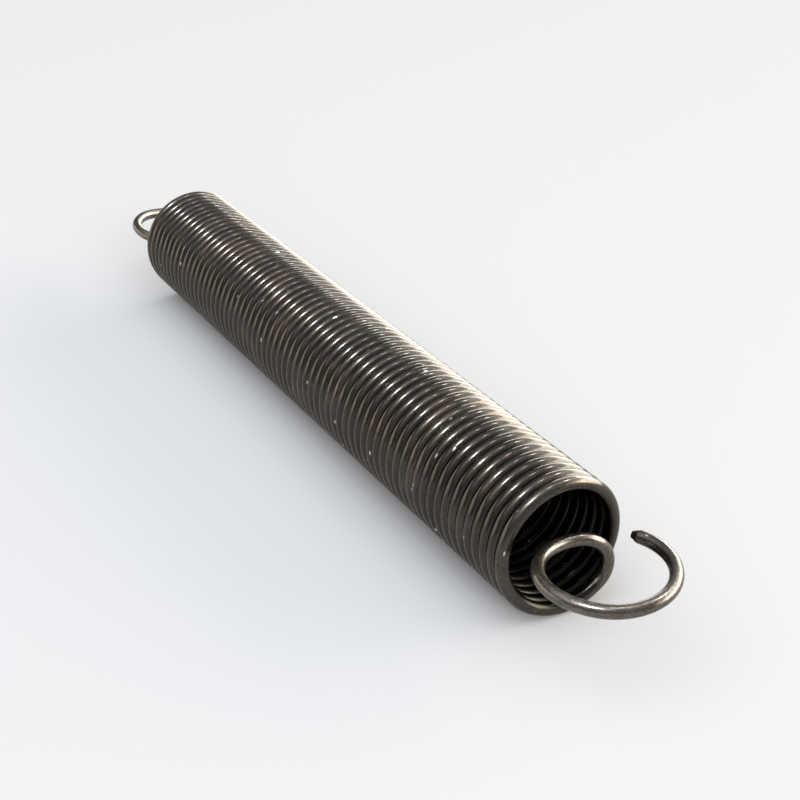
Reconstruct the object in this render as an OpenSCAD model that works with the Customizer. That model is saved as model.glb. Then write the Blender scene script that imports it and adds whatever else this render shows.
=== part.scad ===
// Extension spring: one length of round wire, close-wound into a coil,
// with an open eye formed from the wire at each end.
//
// The wire is described the way it is bent: a run of true arcs, each one
// starting where the last one stops and square to it. A bend is given by its
// radius, its angle, and its roll, which is how far the plane of bending turns
// about the wire before the bend is made.

/* [Wire] */
// Diameter of the round wire
wire_d = 2; // [1:0.1:4]
// Clear gap between one turn and the next, with no load on the spring
coil_gap = 0.05; // [0.02:0.01:1]

/* [Coil] */
// Outside diameter of the coil
coil_od = 20.8; // [14:0.1:60]
// Turns of wire in the coil, which also set how far one eye is turned from the other
turns = 64.75; // [4:0.25:120]
// Place round the coil where the wire leaves it for the eye at the +X end
leave_angle = 311.8; // [0:0.1:360]

/* [Neck of each eye] */
// Radius of the bend that lifts the wire off the coil
lift_radius = 3.8; // [2.5:0.1:12]
// Angle of the bend that lifts the wire off the coil
lift_angle = 86; // [20:1:100]
// Radius of the bend that carries the wire across the mouth of the coil
cross_radius = 5.7; // [2.5:0.1:15]
// Angle of the bend across the mouth
cross_angle = 50; // [20:1:110]
// Roll before the bend across the mouth, which dips it towards the coil
cross_roll = -7; // [-10:1:30]

/* [Loop of each eye] */
// Radius of the first half of the loop
side_radius = 9.5; // [4:0.1:30]
// Angle of the first half of the loop
side_angle = 137; // [60:1:180]
// Roll before the loop, which stands it square to the turns of the coil
side_roll = 94; // [60:1:120]
// Radius of the second half of the loop
nose_radius = 8.7; // [4:0.1:30]
// Angle of the second half of the loop, which sets how far the eye closes
nose_angle = 167; // [60:1:190]
// Roll before the second half of the loop
nose_roll = 7; // [-20:0.1:20]

/* [Cut end] */
// Length of the taper that the cutter leaves on the end of the wire
cut_length = 1.1; // [0.2:0.1:4]
// Diameter left at the very end of the wire
cut_d = 1.1; // [0.4:0.1:3]

/* [Hidden] */
$fn = 48;

// Radius of the line down the middle of the wire, looking along the coil
coil_radius = (coil_od - wire_d) / 2;
// Advance of the wire in one turn
pitch = wire_d + coil_gap;
// A half turn is a flat half circle. Tilted by this much it climbs half a
// pitch, and its two ends stand square to the tilt axis, so the next half
// turn carries on from it with no kink.
half_rise = pitch / 4;
arc_radius = sqrt(coil_radius * coil_radius + half_rise * half_rise);
arc_tilt = asin(half_rise / arc_radius);
// Whole half turns, and the angle of the short one that is left over at the -X end
half_turns = floor(2 * turns);
// Half turns in one long step along the coil
long_step = 20;
last_angle = 180 * (2 * turns - half_turns);
coil_length = turns * pitch;
// Diameter at the cut, held under the wire's own so the end always tapers
cut_end_d = min(cut_d, wire_d * 0.9);
// Two bends meet inside a sleeve a few thousandths of a millimetre prouder
// than the wire, so that they join as one solid whatever their angles are
sleeve_length = 0.2;
sleeve_d = wire_d + 0.01;
// Each bend stops this far short of the joint, inside the sleeve
joint_trim = 0.03;

// An arc of wire in the XY plane round the origin, from +X towards +Y
module wire_arc(radius, angle) {
    rotate_extrude(angle = angle)
        translate([radius, 0])
            circle(d = wire_d);
}

// The sleeve over a joint at the origin, in wire that runs along Y
module joint_sleeve() {
    rotate([90, 0, 0])
        cylinder(h = sleeve_length, d = sleeve_d, center = true);
}

// One bend and the sleeve at its start. It starts at the origin heading along
// +Y and curves towards -X. What follows it is placed at its far end, heading
// along +Y again.
module bend(radius, angle, roll = 0) {
    trim_angle = joint_trim * 180 / (PI * radius);
    joint_sleeve();
    rotate([0, roll, 0])
        translate([-radius, 0, 0]) {
            rotate([0, 0, trim_angle])
                wire_arc(radius, angle - 2 * trim_angle);
            rotate([0, 0, angle])
                translate([radius, 0, 0])
                    children();
        }
}

// The cropped end of the wire, heading along +Y, and the sleeve at its start
module cut_end() {
    joint_sleeve();
    translate([0, joint_trim, 0])
        rotate([-90, 0, 0])
            cylinder(h = cut_length, d1 = wire_d, d2 = cut_end_d);
}

// An open eye, starting where the wire leaves the coil
module eye() {
    bend(lift_radius, lift_angle)
        bend(cross_radius, cross_angle, cross_roll)
            bend(side_radius, side_angle, side_roll)
                bend(nose_radius, nose_angle, nose_roll)
                    cut_end();
}

// The plane of one half turn, counted back from the +X end of the coil. The
// way there is taken in long steps and then short ones, so that each number
// stays short and neighbouring half turns meet exactly.
module half_turn_plane(index) {
    long_steps = floor(index / long_step);
    translate([0, 0, -long_steps * long_step * pitch / 2])
        translate([0, 0, -(index - long_steps * long_step) * pitch / 2])
            translate([0, 0, -half_rise])
                rotate([0, 0, 180 * (index + 1)])
                    rotate([0, arc_tilt, 0])
                        children();
}

// The coil about the Z axis. Its wire ends at the origin's height on +X.
module coil() {
    for (index = [0 : half_turns - 1])
        half_turn_plane(index)
            wire_arc(arc_radius, 180);
    if (last_angle > 0)
        half_turn_plane(half_turns)
            rotate([0, 0, 180 - last_angle])
                wire_arc(arc_radius, last_angle);
}

// Places its children where the wire leaves the +X end of the coil
module at_leading_end() {
    half_turn_plane(0)
        rotate([0, 0, 180])
            translate([arc_radius, 0, 0])
                children();
}

// Places its children where the wire leaves the -X end, heading backwards
module at_trailing_end() {
    half_turn_plane(half_turns)
        rotate([0, 0, 180 - last_angle])
            translate([arc_radius, 0, 0])
                rotate([180, 0, 0])
                    children();
}

// The whole wire, lying along X with its lowest turns on the XY plane and
// the middle of the coil above the origin
module spring_wire() {
    color("#3a352e")
        translate([coil_length / 2, 0, coil_od / 2])
            rotate([90, 0, 90])
                rotate([0, 0, leave_angle]) {
                    coil();
                    at_leading_end()
                        eye();
                    at_trailing_end()
                        eye();
                }
}

spring_wire();
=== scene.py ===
# %% [markdown]
# # Dressing an extension spring
# The part is one length of round wire, wound into a close coil and bent into
# an open eye at each end. The imported frame holds it as an exact solid. Here the
# same wire is drawn again as a smooth tube that knows where each of its points
# lies along the wire, and it gets the finish of oil-tempered steel. The frame
# is loaded first, because every size below has to agree with it.

import math

import bpy
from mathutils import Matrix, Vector


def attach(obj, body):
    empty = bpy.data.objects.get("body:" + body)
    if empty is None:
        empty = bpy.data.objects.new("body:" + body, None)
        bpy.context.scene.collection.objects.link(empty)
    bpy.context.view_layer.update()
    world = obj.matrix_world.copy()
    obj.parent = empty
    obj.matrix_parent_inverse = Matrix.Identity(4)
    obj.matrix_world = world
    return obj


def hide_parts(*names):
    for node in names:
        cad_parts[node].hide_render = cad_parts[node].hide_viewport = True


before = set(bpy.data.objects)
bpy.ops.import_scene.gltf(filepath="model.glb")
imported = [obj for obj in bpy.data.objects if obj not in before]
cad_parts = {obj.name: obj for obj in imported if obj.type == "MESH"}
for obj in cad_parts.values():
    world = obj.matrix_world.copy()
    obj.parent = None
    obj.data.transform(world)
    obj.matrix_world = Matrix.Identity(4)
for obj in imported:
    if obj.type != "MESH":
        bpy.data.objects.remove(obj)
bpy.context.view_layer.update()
MM = 0.001
print("frame nodes", sorted(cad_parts))

# %% [markdown]
# ## Sizes
# A spring maker gives the wire, the coil and the bends of the eye. The same few
# numbers shape the solid in the frame. The wire drawn here is thinner than the
# solid by twice the skin, which is three hundredths of a millimetre, so that
# its facets stay inside the frame's box.

# %% Sizes of the wire and the coil
WIRE_D = 2.0 * MM
SKIN = 0.015 * MM
COIL_GAP = 0.05 * MM
COIL_OD = 20.8 * MM
TURNS = 64.75
LEAVE_ANGLE = math.radians(311.8)
CUT_LENGTH = 1.1 * MM
CUT_D = 1.1 * MM
print("wire", WIRE_D / MM, "mm, coil", COIL_OD / MM, "mm across with", TURNS, "turns")

# %% [markdown]
# Each bend of the eye has a radius, an angle, and a roll, which is how far the
# plane of bending turns about the wire before the bend is made.

# %% Bends of the eye: radius, angle and roll
EYE_BENDS = {
    "Lift": (3.8 * MM, math.radians(86), 0.0),
    "Cross": (5.7 * MM, math.radians(50), math.radians(-7)),
    "Side": (9.5 * MM, math.radians(137), math.radians(94)),
    "Nose": (8.7 * MM, math.radians(167), math.radians(7)),
}
BEND_SIZES = (" radius", " angle", " roll")
print("bends of each eye:", ", ".join(EYE_BENDS))

# %% [markdown]
# The helix is laid as flat half circles, each tilted a little so that it climbs
# half a pitch. That way the wire has no kink where one half turn follows
# another. The tilt and the radius of a half circle follow from the pitch and
# from the radius of the coil.

# %% What follows from the sizes
pitch = WIRE_D + COIL_GAP
coil_length = TURNS * pitch
coil_radius = (COIL_OD - WIRE_D) / 2
turn_length = 2 * math.pi * coil_radius
half_rise = pitch / 4
half_turn_radius = math.hypot(coil_radius, half_rise)
half_turn_tilt = math.asin(half_rise / half_turn_radius)
half_turns = math.floor(2 * TURNS)
last_angle = math.pi * (2 * TURNS - half_turns)
eye_length = sum(radius * angle for radius, angle, roll in EYE_BENDS.values()) + CUT_LENGTH
print("coil length", round(coil_length / MM, 2), "mm, eye wire", round(eye_length / MM, 1), "mm")

# %% [markdown]
# ## Camera
# The photograph looks down on the spring at about 27 degrees, from beyond the
# near eye and a little to the left, with the coil running away to the upper
# left. The camera stands about 0.2 m from the near eye, little more than the
# spring is long, which is what makes the far end look so much smaller. The lens
# is given by its focal length in pixels of the 800 pixel frame.

# %% Stand the camera where the photograph was taken
CAMERA_PLACE = Vector((208.1, -103.3, 121.3)) * MM
LOOK_DOWN = math.radians(26.91)
LOOK_ROUND = math.radians(61.19)
FRAME_PIXELS = 800
FOCAL_PIXELS = 1518
SENSOR_MM = 36
NEAREST_SHOWN = 10 * MM

camera_data = bpy.data.cameras.new("photo_camera")
camera_data.sensor_width = SENSOR_MM
camera_data.lens = FOCAL_PIXELS / FRAME_PIXELS * SENSOR_MM
camera_data.clip_start = NEAREST_SHOWN
camera = bpy.data.objects.new("photo_camera", camera_data)
camera.location = CAMERA_PLACE
camera.rotation_euler = (math.pi / 2 - LOOK_DOWN, 0, LOOK_ROUND)
bpy.context.scene.collection.objects.link(camera)
bpy.context.scene.camera = camera
print("lens", round(camera_data.lens, 1), "mm")

# %% [markdown]
# ## Helpers for node trees
# Both kinds of tree below, for shapes and for finishes, are built from many
# small nodes. One function adds a node, sets its options, and fills each of
# its inputs with a value or with a link from an earlier node, so that a tree
# reads as a list of steps.

# %% Add a node with its inputs filled in
def fill(tree, node, inputs):
    for socket, value in inputs.items():
        if isinstance(value, bpy.types.NodeSocket):
            tree.links.new(value, node.inputs[socket])
        else:
            node.inputs[socket].default_value = value
    return node


def add_node(tree, kind, inputs=None, **options):
    node = tree.nodes.new(kind)
    for name, value in options.items():
        setattr(node, name, value)
    return fill(tree, node, inputs or {})


def new_tree(name, kind, inputs, outputs):
    tree = bpy.data.node_groups.new(name, kind)
    for label, socket_type in inputs.items():
        tree.interface.new_socket(label, in_out="INPUT", socket_type=socket_type)
    for label, socket_type in outputs.items():
        tree.interface.new_socket(label, in_out="OUTPUT", socket_type=socket_type)
    return tree, tree.nodes.new("NodeGroupInput"), tree.nodes.new("NodeGroupOutput")


print("tree helpers: fill, add_node, new_tree")

# %% [markdown]
# Most steps are plain sums, so each sum gets a short name. The last helper
# stretches a range of values over another one, with soft or straight ends. The
# first range may run downwards, which turns the result round.

# %% Sums of values in a tree
def math_node(tree, operation, *values):
    return add_node(tree, "ShaderNodeMath", dict(enumerate(values)), operation=operation).outputs[0]


def added(tree, first, second):
    return math_node(tree, "ADD", first, second)


def less(tree, first, second):
    return math_node(tree, "SUBTRACT", first, second)


def product(tree, first, second):
    return math_node(tree, "MULTIPLY", first, second)


def ratio(tree, first, second):
    return math_node(tree, "DIVIDE", first, second)


def ranged(tree, value, low, high, to_low=0.0, to_high=1.0, soft=True):
    inputs = {"Value": value, "From Min": low, "From Max": high, "To Min": to_low, "To Max": to_high}
    ends = "SMOOTHSTEP" if soft else "LINEAR"
    return add_node(tree, "ShaderNodeMapRange", inputs, interpolation_type=ends).outputs["Result"]


print("value helpers: added, less, product, ratio, ranged")

# %% [markdown]
# ## The centre line of an eye
# The eye is formed after coiling: a pin lifts the wire off the coil, it is
# carried across the mouth, and then wound round a post into a loop that lies
# along the spring. Drawing that by hand needs a curve with many points. A
# chain of arcs needs four. A matrix carries the end of one arc to the start of
# the next, so changing one bend moves all that follows it, as on the real wire.

# %% Turn, shift and place a curve
X_AXIS = (1, 0, 0)
Y_AXIS = (0, 1, 0)
Z_AXIS = (0, 0, 1)


def combined(tree, **parts):
    """A vector from its parts X, Y and Z, with 0 for each one that isn't given."""
    return add_node(tree, "ShaderNodeCombineXYZ", parts).outputs[0]


def transform(tree, **parts):
    return add_node(tree, "FunctionNodeCombineTransform", parts).outputs[0]


def turn(tree, axis, angle):
    rotation = add_node(tree, "FunctionNodeAxisAngleToRotation", {"Axis": axis, "Angle": angle})
    return transform(tree, Rotation=rotation.outputs[0])


def shift(tree, x):
    return transform(tree, Translation=combined(tree, X=x))


def times(tree, first, second):
    return add_node(tree, "FunctionNodeMatrixMultiply", {0: first, 1: second}).outputs[0]


def placed(tree, geometry, matrix):
    inputs = {"Geometry": geometry, "Transform": matrix}
    return add_node(tree, "GeometryNodeTransform", inputs, mode="MATRIX").outputs[0]


def arc_curve(tree, points, radius, angle):
    inputs = {"Resolution": points, "Radius": radius, "Start Angle": 0.0, "Sweep Angle": angle}
    return add_node(tree, "GeometryNodeCurveArc", inputs, mode="RADIUS").outputs[0]


print("curve helpers: turn, shift, times, placed, arc_curve")

# %% [markdown]
# Every bend starts at the origin of its matrix and heads along Y. The cut end
# is a short straight stub with a few points, so that it can taper later.

# %% Geometry nodes: four bends and a cut end, one after another
POINTS_PER_BEND = {"Lift": 22, "Cross": 20, "Side": 46, "Nose": 56}
POINTS_AT_CUT = 6


def add_bend(tree, given, bend, matrix, joined):
    """Joins on one bend where the matrix stands, and gives the matrix at its far end."""
    radius, angle, roll = (given.outputs[bend + size] for size in BEND_SIZES)
    matrix = times(tree, matrix, turn(tree, Y_AXIS, roll))
    matrix = times(tree, matrix, shift(tree, product(tree, radius, -1.0)))
    arc = arc_curve(tree, POINTS_PER_BEND[bend], radius, angle)
    tree.links.new(placed(tree, arc, matrix), joined.inputs[0])
    matrix = times(tree, matrix, turn(tree, Z_AXIS, angle))
    return times(tree, matrix, shift(tree, radius))


def add_stub(tree, given, matrix, joined):
    reach = combined(tree, Y=given.outputs["Cut length"])
    line = add_node(tree, "GeometryNodeCurvePrimitiveLine", {"End": reach}, mode="POINTS").outputs[0]
    stub = add_node(tree, "GeometryNodeResampleCurve", {"Curve": line, "Count": POINTS_AT_CUT})
    tree.links.new(placed(tree, stub.outputs[0], matrix), joined.inputs[0])


def build_eye_tree():
    inputs = {bend + size: "NodeSocketFloat" for bend in EYE_BENDS for size in BEND_SIZES}
    inputs["Cut length"] = "NodeSocketFloat"
    outputs = {"Edges": "NodeSocketGeometry"}
    tree, given, result = new_tree("formed_eye", "GeometryNodeTree", inputs, outputs)
    joined = add_node(tree, "GeometryNodeJoinGeometry")
    matrix = shift(tree, 0.0)
    for bend in EYE_BENDS:
        matrix = add_bend(tree, given, bend, matrix, joined)
    add_stub(tree, given, matrix, joined)
    edges = add_node(tree, "GeometryNodeCurveToMesh", {"Curve": joined.outputs[0]})
    tree.links.new(edges.outputs[0], result.inputs[0])
    return tree


eye_tree = build_eye_tree()
print("eye tree", len(eye_tree.nodes), "nodes")

# %% [markdown]
# ## The coil
# The coil repeats one half turn, so a single arc is set on a row of points and
# turned half a turn more on each. What is left over at the far end is one
# shorter arc. Both kinds stand in planes with the same tilt.

# %% Geometry nodes: the whole half turns
POINTS_PER_HALF_TURN = 33


def half_turn_turning(tree, given, index):
    """The turning of one half turn: its tilt, then half a turn for each one before it."""
    about_axis = product(tree, added(tree, index, 1.0), math.pi)
    return combined(tree, Y=given.outputs["Half turn tilt"], Z=about_axis)


def whole_half_turns(tree, given, half_pitch):
    start = combined(tree, Z=product(tree, half_pitch, -0.5))
    step = combined(tree, Z=product(tree, half_pitch, -1.0))
    inputs = {"Count": given.outputs["Half turns"], "Start Location": start, "Offset": step}
    row = add_node(tree, "GeometryNodeMeshLine", inputs).outputs[0]
    arc = arc_curve(tree, POINTS_PER_HALF_TURN, given.outputs["Half turn radius"], math.pi)
    index = add_node(tree, "GeometryNodeInputIndex").outputs[0]
    turning = half_turn_turning(tree, given, index)
    inputs = {"Points": row, "Instance": arc, "Rotation": turning}
    copies = add_node(tree, "GeometryNodeInstanceOnPoints", inputs).outputs[0]
    return add_node(tree, "GeometryNodeRealizeInstances", {"Geometry": copies}).outputs[0]


print("points on each half turn", POINTS_PER_HALF_TURN)

# %% [markdown]
# The eyes have to start exactly where the coil stops, heading the same way. So
# the plane of the short arc is worked out as a matrix, and the matrices at both
# ends of the coil follow from it and from the first half turn.

# %% Geometry nodes: the short half turn and the two ends of the coil
def last_plane(tree, given, half_pitch):
    """The matrix of the short half turn that is left over at the far end."""
    count = given.outputs["Half turns"]
    drop = product(tree, added(tree, count, 0.5), product(tree, half_pitch, -1.0))
    turning = half_turn_turning(tree, given, count)
    rotation = add_node(tree, "FunctionNodeEulerToRotation", {0: turning}).outputs[0]
    plane = transform(tree, Translation=combined(tree, Z=drop), Rotation=rotation)
    first_angle = less(tree, math.pi, given.outputs["Last angle"])
    return times(tree, plane, turn(tree, Z_AXIS, first_angle))


def build_coil(tree, given):
    """The edges of the coil about Z, from height 0 on +X, and the matrix at its other end."""
    radius = given.outputs["Half turn radius"]
    half_pitch = product(tree, given.outputs["Pitch"], 0.5)
    whole = whole_half_turns(tree, given, half_pitch)
    plane = last_plane(tree, given, half_pitch)
    short = arc_curve(tree, (POINTS_PER_HALF_TURN + 1) // 2, radius, given.outputs["Last angle"])
    joined = add_node(tree, "GeometryNodeJoinGeometry", {0: whole})
    tree.links.new(placed(tree, short, plane), joined.inputs[0])
    edges = add_node(tree, "GeometryNodeCurveToMesh", {"Curve": joined.outputs[0]})
    far_end = times(tree, plane, shift(tree, radius))
    return edges.outputs[0], times(tree, far_end, turn(tree, X_AXIS, math.pi))


def near_end(tree, given):
    """The matrix where the wire leaves the coil at its first half turn."""
    rise = product(tree, given.outputs["Pitch"], -0.25)
    lowered = transform(tree, Translation=combined(tree, Z=rise))
    tilt = product(tree, given.outputs["Half turn tilt"], -1.0)
    plane = times(tree, lowered, turn(tree, Y_AXIS, tilt))
    return times(tree, plane, shift(tree, given.outputs["Half turn radius"]))


print("coil helpers: last_plane, build_coil, near_end")

# %% [markdown]
# ## One curve for the whole wire
# The eyes are joined on, and the loose edges are welded and made into one
# curve. Sweeping one circle along it then gives a closed tube, with no seam
# where coil and eye meet.

# %% Geometry nodes: weld the coil and the eyes
WELD_DISTANCE = 0.02 * MM


def wire_curve(tree, given):
    coil, far_end = build_coil(tree, given)
    eye = add_node(tree, "GeometryNodeGroup", node_tree=eye_tree)
    for bend, values in EYE_BENDS.items():
        fill(tree, eye, {bend + size: value for size, value in zip(BEND_SIZES, values)})
    fill(tree, eye, {"Cut length": given.outputs["Cut length"]})
    joined = add_node(tree, "GeometryNodeJoinGeometry", {0: coil})
    tree.links.new(placed(tree, eye.outputs[0], near_end(tree, given)), joined.inputs[0])
    tree.links.new(placed(tree, eye.outputs[0], far_end), joined.inputs[0])
    inputs = {"Geometry": joined.outputs[0], "Distance": WELD_DISTANCE}
    welded = add_node(tree, "GeometryNodeMergeByDistance", inputs).outputs[0]
    return add_node(tree, "GeometryNodeMeshToCurve", {"Mesh": welded}).outputs[0]


print("ends closer than", WELD_DISTANCE / MM, "mm are welded")

# %% [markdown]
# A wound coil is never quite even: from turn to turn the glints wander a
# little. Noise along the wire draws each turn inwards by up to a twentieth of a
# millimetre, and never outwards, so the coil stays inside its box. The wander
# fades out towards the eyes, which keep their shape.

# %% Geometry nodes: a little wander from turn to turn
WANDER = 0.05 * MM
WANDER_LENGTH = 35 * MM
WANDER_SEED = 4.0
WANDER_FADE = 1.5


def distances(tree):
    """How far a point lies along the wire, and how far from the nearer end of it."""
    along = add_node(tree, "GeometryNodeSplineParameter").outputs["Length"]
    whole = add_node(tree, "GeometryNodeSplineLength").outputs["Length"]
    return along, math_node(tree, "MINIMUM", along, less(tree, whole, along))


def vector_math(tree, operation, inputs):
    return add_node(tree, "ShaderNodeVectorMath", inputs, operation=operation).outputs[0]


def wandered(tree, given, curve, along, to_end):
    eye = given.outputs["Eye length"]
    in_coil = ranged(tree, to_end, eye, product(tree, eye, WANDER_FADE))
    steps = ratio(tree, along, given.outputs["Wander length"])
    inputs = {"W": added(tree, steps, given.outputs["Wander seed"]), "Scale": 1.0, "Detail": 1.0}
    noise = add_node(tree, "ShaderNodeTexNoise", inputs, noise_dimensions="1D").outputs[0]
    inwards = product(tree, noise, product(tree, given.outputs["Wander"], -1.0))
    inwards = product(tree, inwards, in_coil)
    position = add_node(tree, "GeometryNodeInputPosition").outputs[0]
    flat = vector_math(tree, "MULTIPLY", {0: position, 1: (1, 1, 0)})
    outwards = vector_math(tree, "NORMALIZE", {0: flat})
    offset = vector_math(tree, "SCALE", {0: outwards, "Scale": inwards})
    inputs = {"Geometry": curve, "Offset": offset}
    return add_node(tree, "GeometryNodeSetPosition", inputs).outputs[0]


print("wander up to", WANDER / MM, "mm over about", round(WANDER_LENGTH / MM), "mm of wire")

# %% [markdown]
# ## The sweep
# The marks of drawing follow the wire and not the room, so the sweep stores
# where each point lies along and around the wire. A shear leaves the end of the
# wire squeezed, so the circle shrinks over the last millimetre.

# %% Geometry nodes: sweep a circle along the curve
SIDES_OF_WIRE = 20


def stored(tree, geometry, name, value, data_type):
    inputs = {"Name": name, "Geometry": geometry, "Value": value}
    options = {"data_type": data_type, "domain": "POINT"}
    return add_node(tree, "GeometryNodeStoreNamedAttribute", inputs, **options).outputs[0]


def wire_section(tree, given):
    """The circle that is swept. It remembers where each of its points lies around the wire."""
    radius = product(tree, given.outputs["Wire diameter"], 0.5)
    inputs = {"Resolution": SIDES_OF_WIRE, "Radius": radius}
    circle = add_node(tree, "GeometryNodeCurvePrimitiveCircle", inputs, mode="RADIUS").outputs[0]
    around = add_node(tree, "GeometryNodeInputPosition").outputs[0]
    return stored(tree, circle, "around_wire", around, "FLOAT_VECTOR")


def swept(tree, given, curve, end_distance):
    narrowest = ratio(tree, given.outputs["Cut diameter"], given.outputs["Wire diameter"])
    taper = ranged(tree, end_distance, 0.0, given.outputs["Cut length"], to_low=narrowest)
    section = wire_section(tree, given)
    inputs = {"Curve": curve, "Profile Curve": section, "Scale": taper, "Fill Caps": True}
    return add_node(tree, "GeometryNodeCurveToMesh", inputs).outputs[0]


print("sides of the tube", SIDES_OF_WIRE)

# %% [markdown]
# The coil was wound about Z. It is turned to bring the eyes to the side that
# the photograph shows, and then laid along X on the table. Last, the tube is
# made smooth, the two cut faces stay flat, and each gets its material.

# %% Geometry nodes: lay the wire down and name its materials
LYING = (math.pi / 2, 0, math.pi / 2)


def laid_down(tree, given, tube):
    leave = combined(tree, Z=given.outputs["Leave angle"])
    turned = add_node(tree, "GeometryNodeTransform", {"Geometry": tube, "Rotation": leave}).outputs[0]
    half_length = product(tree, given.outputs["Coil length"], 0.5)
    middle = combined(tree, X=half_length, Z=given.outputs["Axis height"])
    inputs = {"Geometry": turned, "Translation": middle, "Rotation": LYING}
    return add_node(tree, "GeometryNodeTransform", inputs).outputs[0]


def finished_faces(tree, given, lying, end_distance):
    at_cut = math_node(tree, "LESS_THAN", end_distance, WELD_DISTANCE)
    steps = (
        ("GeometryNodeSetShadeSmooth", {"Shade Smooth": True}),
        ("GeometryNodeSetShadeSmooth", {"Selection": at_cut, "Shade Smooth": False}),
        ("GeometryNodeRealizeInstances", {}),
        ("GeometryNodeSetMaterial", {"Material": given.outputs["Steel"]}),
        ("GeometryNodeSetMaterial", {"Selection": at_cut, "Material": given.outputs["Cut face"]}),
    )
    faces = lying
    for kind, inputs in steps:
        faces = add_node(tree, kind, {"Geometry": faces, **inputs}).outputs[0]
    return faces


print("last steps of the wire tree: laid_down, finished_faces")

# %% [markdown]
# Now the whole tree is put together. Its inputs carry the sizes of the wire and
# the coil by name, so the same tree could wind a coil of other sizes.

# %% Geometry nodes: the whole wire
WIRE_SIZES = (
    "Wire diameter", "Pitch", "Half turn radius", "Half turn tilt", "Last angle", "Leave angle",
    "Coil length", "Axis height", "Cut diameter", "Cut length", "Eye length", "Wander",
    "Wander length", "Wander seed",
)


def build_wire_tree():
    inputs = {size: "NodeSocketFloat" for size in WIRE_SIZES}
    inputs["Half turns"] = "NodeSocketInt"
    inputs["Steel"] = "NodeSocketMaterial"
    inputs["Cut face"] = "NodeSocketMaterial"
    outputs = {"Wire": "NodeSocketGeometry"}
    tree, given, result = new_tree("spring_wire", "GeometryNodeTree", inputs, outputs)
    along, to_end = distances(tree)
    curve = wandered(tree, given, wire_curve(tree, given), along, to_end)
    curve = stored(tree, curve, "along_wire", along, "FLOAT")
    curve = stored(tree, curve, "to_wire_end", to_end, "FLOAT")
    name = {"Name": "to_wire_end"}
    end_distance = add_node(tree, "GeometryNodeInputNamedAttribute", name, data_type="FLOAT").outputs[0]
    tube = swept(tree, given, curve, end_distance)
    faces = finished_faces(tree, given, laid_down(tree, given, tube), end_distance)
    tree.links.new(faces, result.inputs[0])
    return tree


wire_tree = build_wire_tree()
print("wire tree", len(wire_tree.nodes), "nodes")

# %% [markdown]
# ## Effects that the finishes share
# Oil-tempered wire carries three kinds of mark. Each one is a group with its
# own inputs, so that the steel and the cut faces can use the same effect at
# other strengths. The first is what drawing leaves: fine lines that run along
# the wire. They are noise that changes quickly around the wire and slowly
# along it.

# %% Shader group: drawing lines
LINE_STRETCH = 0.02
LINE_DETAIL = {"Detail": 3.0, "Roughness": 0.65}


def stretched(tree, along, around, stretch):
    """Coordinates that follow the wire: slow along it, and quick around it."""
    part = add_node(tree, "ShaderNodeSeparateXYZ", {0: around})
    return combined(tree, X=product(tree, along, stretch), Y=part.outputs["X"], Z=part.outputs["Y"])


def build_drawing_lines():
    inputs = {"Along": "NodeSocketFloat", "Around": "NodeSocketVector", "Density": "NodeSocketFloat"}
    outputs = {"Lines": "NodeSocketFloat"}
    tree, given, result = new_tree("drawing_lines", "ShaderNodeTree", inputs, outputs)
    place = stretched(tree, given.outputs["Along"], given.outputs["Around"], LINE_STRETCH)
    inputs = {"Vector": place, "Scale": given.outputs["Density"], **LINE_DETAIL}
    noise = add_node(tree, "ShaderNodeTexNoise", inputs).outputs[0]
    tree.links.new(noise, result.inputs["Lines"])
    return tree


drawing_lines = build_drawing_lines()
print("drawing lines", len(drawing_lines.nodes), "nodes")

# %% [markdown]
# The second comes from tempering: clouds of brown and olive in the black oxide.
# The group gives the noise itself as a tone, and the clouds cut out of it. A
# greater amount lowers the level at which a cloud starts.

# %% Shader group: temper clouds
CLOUD_DETAIL = {"Detail": 3.0, "Roughness": 0.55}
CLOUD_LEVEL = 0.72
CLOUD_DROP = 0.4
CLOUD_EDGE = 0.16


def build_temper_clouds():
    inputs = {"Vector": "NodeSocketVector", "Size": "NodeSocketFloat", "Amount": "NodeSocketFloat"}
    outputs = {"Clouds": "NodeSocketFloat", "Tone": "NodeSocketFloat"}
    tree, given, result = new_tree("temper_clouds", "ShaderNodeTree", inputs, outputs)
    scale = ratio(tree, 1.0, given.outputs["Size"])
    inputs = {"Vector": given.outputs["Vector"], "Scale": scale, **CLOUD_DETAIL}
    tone = add_node(tree, "ShaderNodeTexNoise", inputs).outputs[0]
    low = less(tree, CLOUD_LEVEL, product(tree, given.outputs["Amount"], CLOUD_DROP))
    clouds = ranged(tree, tone, low, added(tree, low, CLOUD_EDGE))
    fill(tree, result, {"Clouds": clouds, "Tone": tone})
    return tree


temper_clouds = build_temper_clouds()
print("temper clouds", len(temper_clouds.nodes), "nodes")

# %% [markdown]
# The third comes from handling: small nicks and pits. A cell pattern gives one
# spot to each cell, finer noise makes its rim ragged, and only the cells with a
# high random value keep their spot, so that the spots are few and uneven. The
# numbers of the rim are in parts of a cell, apart from the last one: a spot is
# full inside that part of its own radius.

# %% Shader group: nicks
CELLS_WITHOUT_SPOT = 0.72
RIM_NOISE = {"Scale": 6.0, "Detail": 2.0}
RIM_DEPTH = 0.12
RIM_MARGIN = 0.06
FULL_INSIDE = 0.6


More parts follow.
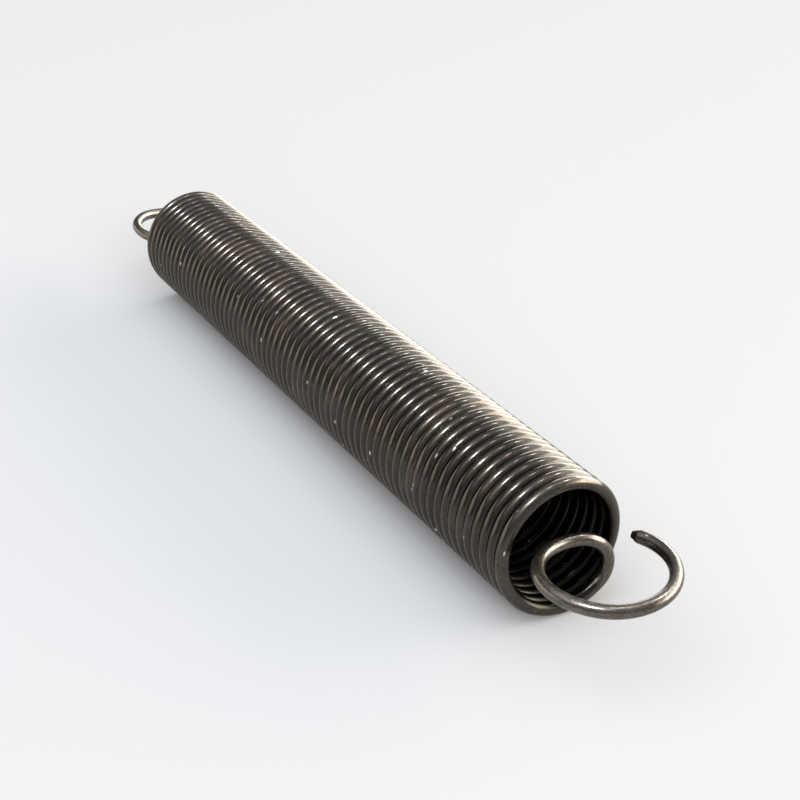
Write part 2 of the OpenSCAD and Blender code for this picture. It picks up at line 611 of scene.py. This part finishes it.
def build_nicks():
    inputs = {"Vector": "NodeSocketVector", "Spacing": "NodeSocketFloat", "Size": "NodeSocketFloat"}
    tree, given, result = new_tree("nicks", "ShaderNodeTree", inputs, {"Nicks": "NodeSocketFloat"})
    place = given.outputs["Vector"]
    scale = ratio(tree, 1.0, given.outputs["Spacing"])
    finer = product(tree, scale, RIM_NOISE["Scale"])
    inputs = {"Vector": place, "Scale": finer, "Detail": RIM_NOISE["Detail"]}
    rim = add_node(tree, "ShaderNodeTexNoise", inputs).outputs[0]
    cells = add_node(tree, "ShaderNodeTexVoronoi", {"Vector": place, "Scale": scale, "Randomness": 1.0})
    ragged = added(tree, cells.outputs["Distance"], product(tree, rim, RIM_DEPTH))
    share = ratio(tree, given.outputs["Size"], given.outputs["Spacing"])
    edge = added(tree, share, RIM_MARGIN)
    spot = ranged(tree, ragged, edge, product(tree, edge, FULL_INSIDE), soft=False)
    draw = add_node(tree, "ShaderNodeSeparateXYZ", {0: cells.outputs["Color"]}).outputs["X"]
    picked = math_node(tree, "GREATER_THAN", draw, CELLS_WITHOUT_SPOT)
    tree.links.new(product(tree, spot, picked), result.inputs["Nicks"])
    return tree


nicks = build_nicks()
print("nicks", len(nicks.nodes), "nodes")

# %% [markdown]
# ## Helpers for materials
# A material places the groups with its own values and mixes colours by what
# they give. The Mix node has several sockets of one name, so its colours are
# reached by number. The wire's own coordinates come from the attributes that
# the sweep stored. Its place is in Object coordinates, which stay with the piece.

# %% Mix colours and place groups
FIRST_COLOR = 6
SECOND_COLOR = 7
MIXED_COLOR = 2


def mixed(tree, factor, first, second):
    inputs = {"Factor": factor, FIRST_COLOR: first, SECOND_COLOR: second}
    return add_node(tree, "ShaderNodeMix", inputs, data_type="RGBA").outputs[MIXED_COLOR]


def group_node(tree, group, inputs):
    return fill(tree, add_node(tree, "ShaderNodeGroup", node_tree=group), inputs).outputs


def new_material(name):
    material = bpy.data.materials.new(name)
    material.use_nodes = True
    tree = material.node_tree
    return material, tree, tree.nodes["Principled BSDF"]


def attribute(tree, name, output):
    return add_node(tree, "ShaderNodeAttribute", attribute_name=name).outputs[output]


def wire_coordinates(tree):
    along = attribute(tree, "along_wire", "Fac")
    around = attribute(tree, "around_wire", "Vector")
    place = add_node(tree, "ShaderNodeTexCoord").outputs["Object"]
    return along, around, place


def falling(tree, value, full, none):
    """1 where the value is under full, 0 where it is over none, and a smooth fall between them."""
    return ranged(tree, value, none, full)


print("material helpers: mixed, group_node, new_material, wire_coordinates, falling")

# %% [markdown]
# ## Oil-tempered steel
# The wire is bare metal under a thin dark oxide, so it is a metal with a dark
# colour and not a black paint: seen face on it is nearly black, and at a
# glancing angle it mirrors the pale room. First come the colours, and the size
# of each mark.

# %% Colours of the steel and sizes of its marks
OXIDE = (0.040, 0.034, 0.026, 1)
OLIVE = (0.022, 0.020, 0.014, 1)
BROWN = (0.095, 0.070, 0.050, 1)
RUST = (0.120, 0.062, 0.040, 1)
RUBBED = (0.20, 0.170, 0.140, 1)
PIT = (0.010, 0.009, 0.007, 1)
BARE = (0.62, 0.60, 0.57, 1)

DRAWING_LINES_PER_METRE = 2600
CLOUDS = {"Size": 9 * MM, "Amount": 0.55}
TINTS = {"Size": 3 * MM, "Amount": 0.3}
NICKS = {"Spacing": 1.2 * MM, "Size": 0.17 * MM}
NICK_STRETCH = 0.4
PITS = {"Spacing": 0.8 * MM, "Size": 0.05 * MM}
GRAIN_SIZE = 0.35 * MM
GRAIN_DETAIL = {"Detail": 2.0, "Roughness": 0.6}
print("steel colours: oxide, olive, brown, rust, rubbed, pit, bare")

# %% [markdown]
# Every mark is one pattern over the surface. Nicks are drawn out along the
# wire, because that is how it slides over things. Clouds, tints, pits and grain
# lie as they fall.

# %% The marks on the steel
def steel_marks(tree):
    along, around, place = wire_coordinates(tree)
    on_wire = stretched(tree, along, around, NICK_STRETCH)
    drawn = {"Along": along, "Around": around, "Density": DRAWING_LINES_PER_METRE}
    clouds = group_node(tree, temper_clouds, {"Vector": place, **CLOUDS})
    tints = group_node(tree, temper_clouds, {"Vector": place, **TINTS})
    grain = {"Vector": place, "Scale": 1 / GRAIN_SIZE, **GRAIN_DETAIL}
    return {
        "lines": group_node(tree, drawing_lines, drawn)["Lines"],
        "clouds": clouds["Clouds"],
        "cloud tone": clouds["Tone"],
        "tints": tints["Clouds"],
        "tint tone": tints["Tone"],
        "nicks": group_node(tree, nicks, {"Vector": on_wire, **NICKS})["Nicks"],
        "pits": group_node(tree, nicks, {"Vector": place, **PITS})["Nicks"],
        "grain": add_node(tree, "ShaderNodeTexNoise", grain).outputs[0],
    }


print("marks: lines, clouds, tints, nicks, pits, grain")

# %% [markdown]
# Wear is not the same all over. The eyes are handled and hooked, so their oxide
# is rubbed thin, but not at the cut tip, and the outermost turn a little. Their
# place is known from how far a point lies from the end of the wire, and the
# fades are in parts of the eye's wire or of one turn.

# %% Where the oxide is rubbed
RUB_ON_EYE = 0.9
RUB_SPARED_AT_TIP = 0.8
RUB_ON_LAST_TURN = 0.25
RUB_FROM_TINT = 0.8
RUB_EVERYWHERE = 0.1
EYE_FADE = (0.9, 1.1)
TIP_FADE = (0.08, 0.2)
LAST_TURN_FADE = (0.8, 1.0)


def rubbed_share(tree, to_end, tint_tone):
    on_eye = falling(tree, to_end, *(eye_length * part for part in EYE_FADE))
    on_tip = falling(tree, to_end, *(eye_length * part for part in TIP_FADE))
    on_turn = falling(tree, to_end, *(eye_length + turn_length * part for part in LAST_TURN_FADE))
    rub = less(tree, product(tree, on_eye, RUB_ON_EYE), product(tree, on_tip, RUB_SPARED_AT_TIP))
    rub = added(tree, rub, product(tree, on_turn, RUB_ON_LAST_TURN))
    patches = added(tree, product(tree, tint_tone, RUB_FROM_TINT), RUB_EVERYWHERE)
    return product(tree, rub, patches)


print("the oxide is rubbed on", round((eye_length + turn_length) / MM), "mm of wire at each end")

# %% [markdown]
# The side of the turns that faces the bore is painted nearly black, which is
# painted shade in the bore, and the oil film is taken off there too. It is found
# from how far a point lies from the axis of the coil.

# %% Painted shade on the side that faces the bore
BORE_SHADE_DEPTH = 0.45 * WIRE_D
BORE_SHADE_FADE = 0.02 * turn_length


def painted_bore_shade(tree, to_end):
    """Painted shade: 1 on the side of the turns that faces the bore, and 0 on the outside and on the
    eyes.
    """
    place = add_node(tree, "ShaderNodeTexCoord").outputs["Object"]
    part = add_node(tree, "ShaderNodeSeparateXYZ", {0: place}).outputs
    height = less(tree, part["Z"], COIL_OD / 2)
    across_squared = math_node(tree, "POWER", part["Y"], 2.0)
    up_squared = math_node(tree, "POWER", height, 2.0)
    from_axis = math_node(tree, "SQRT", added(tree, across_squared, up_squared))
    facing = falling(tree, from_axis, coil_radius - BORE_SHADE_DEPTH, coil_radius)
    on_eye = falling(tree, to_end, eye_length, eye_length + BORE_SHADE_FADE)
    return product(tree, facing, less(tree, 1.0, on_eye))


print("the dark side starts", round((coil_radius - BORE_SHADE_DEPTH) / MM, 2), "mm from the axis")

# %% [markdown]
# The colour is built up one layer over another, as on the real surface: olive
# and black oxide, brown clouds, rust tints, the lines of drawing, rubbed steel,
# pits, grain, and the nicks that show the steel itself. The last layer is
# painted shade: near-black laid over the side that faces the bore. A layer's
# share is how much of it can cover what is under it. A span says between which
# values of the noise a layer comes in.

# %% Layers of colour
CLOUD_SHARE = 0.6
TINT_SHARE = 0.55
LINE_SHARE = 0.35
PIT_SHARE = 0.8
GRAIN_SHARE = 0.45
BORE_SHADE_SHARE = 0.92
NOISE_SPAN = (0.3, 0.7)
GRAIN_SPAN = (0.35, 0.62)


def steel_color(tree, marks, rubbed, bore_shade):
    drawn = ranged(tree, marks["lines"], *NOISE_SPAN, to_high=LINE_SHARE, soft=False)
    grain = falling(tree, marks["grain"], *GRAIN_SPAN)
    layers = (
        (product(tree, marks["clouds"], CLOUD_SHARE), BROWN),
        (product(tree, marks["tints"], TINT_SHARE), RUST),
        (drawn, BROWN),
        (rubbed, RUBBED),
        (product(tree, marks["pits"], PIT_SHARE), PIT),
        (product(tree, grain, GRAIN_SHARE), PIT),
        (marks["nicks"], BARE),
        # painted shade: near-black over the side of the turns that faces the bore
        (product(tree, bore_shade, BORE_SHADE_SHARE), PIT),
    )
    color = mixed(tree, marks["cloud tone"], OLIVE, OXIDE)
    for share, layer in layers:
        color = mixed(tree, share, color, layer)
    return color


print("shares of cloud, tint, line:", CLOUD_SHARE, TINT_SHARE, LINE_SHARE)

# %% [markdown]
# The oil of the tempering bath leaves a thin clear film, which is a coat over
# the metal and draws the crisp white glints. Lines and tints vary the gloss
# under it, and lines, grain and nicks give it a little relief. The steel's edge
# tint is under white, so that turns seen at a glancing angle don't flare.

# %% The steel of the wire
EDGE_TINT = (0.66, 0.65, 0.63, 1)
STEEL_METALLIC = 0.92
STEEL_GLOSS = (0.20, 0.36)
OIL_FILM = 0.42
OIL_FILM_GLOSS = 0.12
RELIEF = {"Strength": 0.35, "Distance": 0.01 * MM}
GRAIN_HEIGHT = 0.9
NICK_DEPTH = 0.6


def steel_relief(tree, marks):
    height = added(tree, marks["lines"], product(tree, marks["grain"], GRAIN_HEIGHT))
    height = less(tree, height, product(tree, marks["nicks"], NICK_DEPTH))
    return add_node(tree, "ShaderNodeBump", {"Height": height, **RELIEF}).outputs[0]


def steel_gloss(tree, marks):
    half_lines = product(tree, marks["lines"], 0.5)
    half_tints = product(tree, marks["tint tone"], 0.5)
    mean = added(tree, half_lines, half_tints)
    return ranged(tree, mean, *NOISE_SPAN, *STEEL_GLOSS, soft=False)


def build_steel():
    material, tree, shader = new_material("oil_tempered_steel")
    marks = steel_marks(tree)
    to_end = attribute(tree, "to_wire_end", "Fac")
    rubbed = rubbed_share(tree, to_end, marks["tint tone"])
    # painted shade in the bore, where the oil film is also taken off
    bore_shade = painted_bore_shade(tree, to_end)
    film = less(tree, OIL_FILM, product(tree, bore_shade, OIL_FILM))
    fill(tree, shader, {
        "Base Color": steel_color(tree, marks, rubbed, bore_shade),
        "Metallic": STEEL_METALLIC,
        "Roughness": steel_gloss(tree, marks),
        "Specular Tint": EDGE_TINT,
        "Coat Weight": film,
        "Coat Roughness": OIL_FILM_GLOSS,
        "Normal": steel_relief(tree, marks),
    })
    return material


steel = build_steel()
print("steel material", len(steel.node_tree.nodes), "nodes")

# %% [markdown]
# ## The cut faces
# A shear squeezes the wire and tears the last of it, so its faces are rough and
# partly bright. They share the lines and the clouds with the steel, at other
# strengths.

# %% The material of the two cut faces
TORN_LINES_PER_METRE = 4000.0
TORN_CLOUDS = {"Size": 0.5 * MM, "Amount": 0.5}
TORN_GLOSS = 0.42
TORN_RELIEF = {"Strength": 0.5, "Distance": 0.03 * MM}


def build_cut_face():
    material, tree, shader = new_material("sheared_steel")
    along, around, place = wire_coordinates(tree)
    torn = {"Along": along, "Around": around, "Density": TORN_LINES_PER_METRE}
    lines = group_node(tree, drawing_lines, torn)["Lines"]
    clouds = group_node(tree, temper_clouds, {"Vector": place, **TORN_CLOUDS})["Clouds"]
    fill(tree, shader, {
        "Base Color": mixed(tree, clouds, OXIDE, BARE),
        "Metallic": STEEL_METALLIC,
        "Roughness": TORN_GLOSS,
        "Normal": add_node(tree, "ShaderNodeBump", {"Height": lines, **TORN_RELIEF}).outputs[0],
    })
    return material


cut_face = build_cut_face()
print("cut face material", len(cut_face.node_tree.nodes), "nodes")

# %% [markdown]
# ## Winding the wire
# The tree needs a value for each of its inputs: the sizes from the top of this
# file, what was worked out from them, and the two materials.

# %% The values for the tree
WIRE_VALUES = {
    "Wire diameter": WIRE_D - 2 * SKIN,
    "Pitch": pitch,
    "Half turn radius": half_turn_radius,
    "Half turn tilt": half_turn_tilt,
    "Half turns": half_turns,
    "Last angle": last_angle,
    "Leave angle": LEAVE_ANGLE,
    "Coil length": coil_length,
    "Axis height": COIL_OD / 2,
    "Cut diameter": CUT_D,
    "Cut length": CUT_LENGTH,
    "Eye length": eye_length,
    "Wander": WANDER,
    "Wander length": WANDER_LENGTH,
    "Wander seed": WANDER_SEED,
    "Steel": steel,
    "Cut face": cut_face,
}
print("the tree takes", len(WIRE_VALUES), "values")

# %% [markdown]
# The tree goes on an empty mesh as a modifier, and its inputs are set through
# their identifiers. The evaluated result is then copied out as a plain mesh and
# the modifier is removed, so that the piece holds the mesh as it is seen here.

# %% Run the tree and keep its mesh
def wound_wire():
    piece = bpy.data.objects.new("dressed_spring_wire", bpy.data.meshes.new("dressed_spring_wire"))
    bpy.context.scene.collection.objects.link(piece)
    modifier = piece.modifiers.new("wind", "NODES")
    modifier.node_group = wire_tree
    for item in wire_tree.interface.items_tree:
        if item.item_type == "SOCKET" and item.in_out == "INPUT":
            modifier[item.identifier] = WIRE_VALUES[item.name]
    evaluated = piece.evaluated_get(bpy.context.evaluated_depsgraph_get())
    mesh = bpy.data.meshes.new_from_object(evaluated)
    piece.modifiers.clear()
    piece.data = mesh
    return piece


wire = wound_wire()
triangles = sum(len(face.vertices) - 2 for face in wire.data.polygons)
print("wire has", len(wire.data.vertices), "points and", triangles, "triangles")

# %% [markdown]
# ## The table
# The photograph is a bright table top with no edge in view. A matt pale square
# is enough, wide enough that its edge stays out of the photograph's view.

# %% A pale table top
TABLE_SIZE = 8.0
TABLE_COLOR = (0.80, 0.80, 0.80, 1)
TABLE_GLOSS = 0.9
TABLE_SHINE = 0.1
TABLE_CORNERS = ((-1, -1), (1, -1), (1, 1), (-1, 1))


def build_table():
    mesh = bpy.data.meshes.new("table_top")
    corners = [(x * TABLE_SIZE / 2, y * TABLE_SIZE / 2, 0) for x, y in TABLE_CORNERS]
    mesh.from_pydata(corners, [], [(0, 1, 2, 3)])
    material, tree, shader = new_material("pale_table")
    fill(tree, shader, {
        "Base Color": TABLE_COLOR,
        "Roughness": TABLE_GLOSS,
        "Specular IOR Level": TABLE_SHINE,
    })
    mesh.materials.append(material)
    return bpy.data.objects.new("table_top", mesh)


table = build_table()
bpy.context.scene.collection.objects.link(table)
print("table", TABLE_SIZE, "m wide")

# %% [markdown]
# ## The window
# A low, wide and warm window on the right throws the soft shadow to the left.
# It is an area lamp. Each lamp here is given by the direction in which it stands,
# its distance, its width and height, the brightness of its face, and its colour.
# The brightness is what shiny wire mirrors, so the power follows from it.

# %% The window on the right
AIM = Vector((0, 0, 10)) * MM
DAYLIGHT = (1.0, 0.89, 0.70)


def add_lamp(name, direction, distance, size, radiance, color):
    """An area lamp that faces the spring, with its distance and size in metres."""
    width, height = size
    data = bpy.data.lights.new(name, "AREA")
    data.shape = "RECTANGLE"
    data.size = width
    data.size_y = height
    data.color = color
    data.energy = radiance * math.pi * width * height
    lamp = bpy.data.objects.new(name, data)
    lamp.location = AIM + Vector(direction).normalized() * distance
    lamp.rotation_euler = Vector(direction).to_track_quat("Z", "Y").to_euler()
    bpy.context.scene.collection.objects.link(lamp)
    return lamp


window = add_lamp("window", (0.246, 0.919, 0.309), 3.0, (4.6, 1.5), 3.3, DAYLIGHT)
print("window", round(window.data.energy), "W")

# %% [markdown]
# ## Lamps for one thing alone
# A studio shapes what metal mirrors with lamps and cards that hardly touch the
# background. Light linking does the same. Three small cool lamps overhead draw
# the rows of glints along the coil, three wide warm ones on the right and
# behind wash the right flank in cream, and a faint tan glow from the left gives
# each turn there its band. One more lamp, in front, lights the table alone and
# thins the shadow on it.

# %% The lamps that light the spring alone, and the one for the table
COOL = (0.86, 0.93, 1.0)
WARM = (1.0, 0.98, 0.94)
TAN = (1.0, 0.90, 0.78)
WHITE = (1.0, 1.0, 1.0)

SPRING_LAMPS = (
    ("overhead_left", (0.15, -0.39, 0.91), 1.2, (0.30, 0.16), 105.0, COOL),
    ("overhead_middle", (0.07, 0.14, 0.98), 1.2, (0.20, 0.11), 28.0, COOL),
    ("overhead_right", (0.0, 0.57, 0.82), 1.2, (0.24, 0.13), 42.0, COOL),
    ("right_wall", (0.0, 0.95, 0.31), 3.0, (5.0, 1.4), 9.0, WARM),
    ("right_wall_top", (0.0, 0.80, 0.60), 3.0, (4.0, 1.3), 2.2, WARM),
    ("back_wall", (-0.70, 0.70, 0.14), 3.0, (2.2, 1.2), 6.5, WARM),
    ("left_glow", (-0.70, -0.70, -0.08), 1.5, (1.9, 1.1), 2.4, TAN),
)

spring_only = bpy.data.collections.new("spring_only")
spring_only.objects.link(wire)
for values in SPRING_LAMPS:
    lamp = add_lamp(*values)
    lamp.light_linking.receiver_collection = spring_only
    lamp.light_linking.blocker_collection = spring_only

table_only = bpy.data.collections.new("table_only")
table_only.objects.link(table)
front_fill = add_lamp("front_fill", (0.88, -0.19, 0.35), 3.0, (2.8, 1.5), 4.9, WHITE)
front_fill.light_linking.receiver_collection = table_only

# %% [markdown]
# ## The room
# Bright metal shows the room around it. Here the room is a sky of four tones:
# dark and low all round, paler above, a bright ceiling that leans to the left,
# and a grey patch behind the camera. Together they fill the shadow with cool
# light. Each patch has its middle, the cosine of the angle from there to its
# edge, the cosine inside which its tone is full, and the tone.

# %% Tones of the room and the sides they lie on
ROOM_LOW = (0.17, 0.18, 0.195, 1)
ROOM_TOP = (0.84, 0.86, 0.91, 1)
ROOM_CEILING = (1.44, 1.52, 1.63, 1)
ROOM_FRONT = (0.50, 0.50, 0.52, 1)
BACKDROP = (0.86, 0.865, 0.87, 1)
UPWARDS = Vector((0, 0, 1))
CEILING = Vector((-0.03, -0.42, 0.91)).normalized()
CAMERA_SIDE = Vector((0.82, -0.42, 0.38)).normalized()
ROOM_PATCHES = (
    (UPWARDS, 0.45, 0.85, ROOM_TOP),
    (CEILING, 0.70, 0.96, ROOM_CEILING),
    (CAMERA_SIDE, 0.55, 0.96, ROOM_FRONT),
)
print("room patches", len(ROOM_PATCHES))

# %% [markdown]
# The cosine of the angle between a direction and the middle of a patch is one
# dot product, and the tones are mixed by it, one after another. Where a camera
# sees past the table, it sees a plain pale backdrop instead.

# %% Paint the room
def towards(tree, direction, side, edge, middle):
    """How far a direction lies towards one side of the room, from 0 at the edge to 1 at the middle."""
    inputs = {0: direction, 1: side}
    cosine = add_node(tree, "ShaderNodeVectorMath", inputs, operation="DOT_PRODUCT").outputs["Value"]
    return ranged(tree, cosine, edge, middle)


def build_room():
    world = bpy.data.worlds.new("room")
    world.use_nodes = True
    tree = world.node_tree
    direction = add_node(tree, "ShaderNodeTexCoord").outputs["Generated"]
    color = ROOM_LOW
    for side, edge, middle, tone in ROOM_PATCHES:
        color = mixed(tree, towards(tree, direction, side, edge, middle), color, tone)
    seen = add_node(tree, "ShaderNodeLightPath").outputs["Is Camera Ray"]
    fill(tree, tree.nodes["Background"], {"Color": mixed(tree, seen, color, BACKDROP)})
    return world


bpy.context.scene.world = build_room()
bpy.context.scene.view_settings.view_transform = "Standard"
print("room tree", len(bpy.context.scene.world.node_tree.nodes), "nodes")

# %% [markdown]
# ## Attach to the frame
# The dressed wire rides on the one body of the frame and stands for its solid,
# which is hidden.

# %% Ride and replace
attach(wire, "root")
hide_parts("spring_wire")
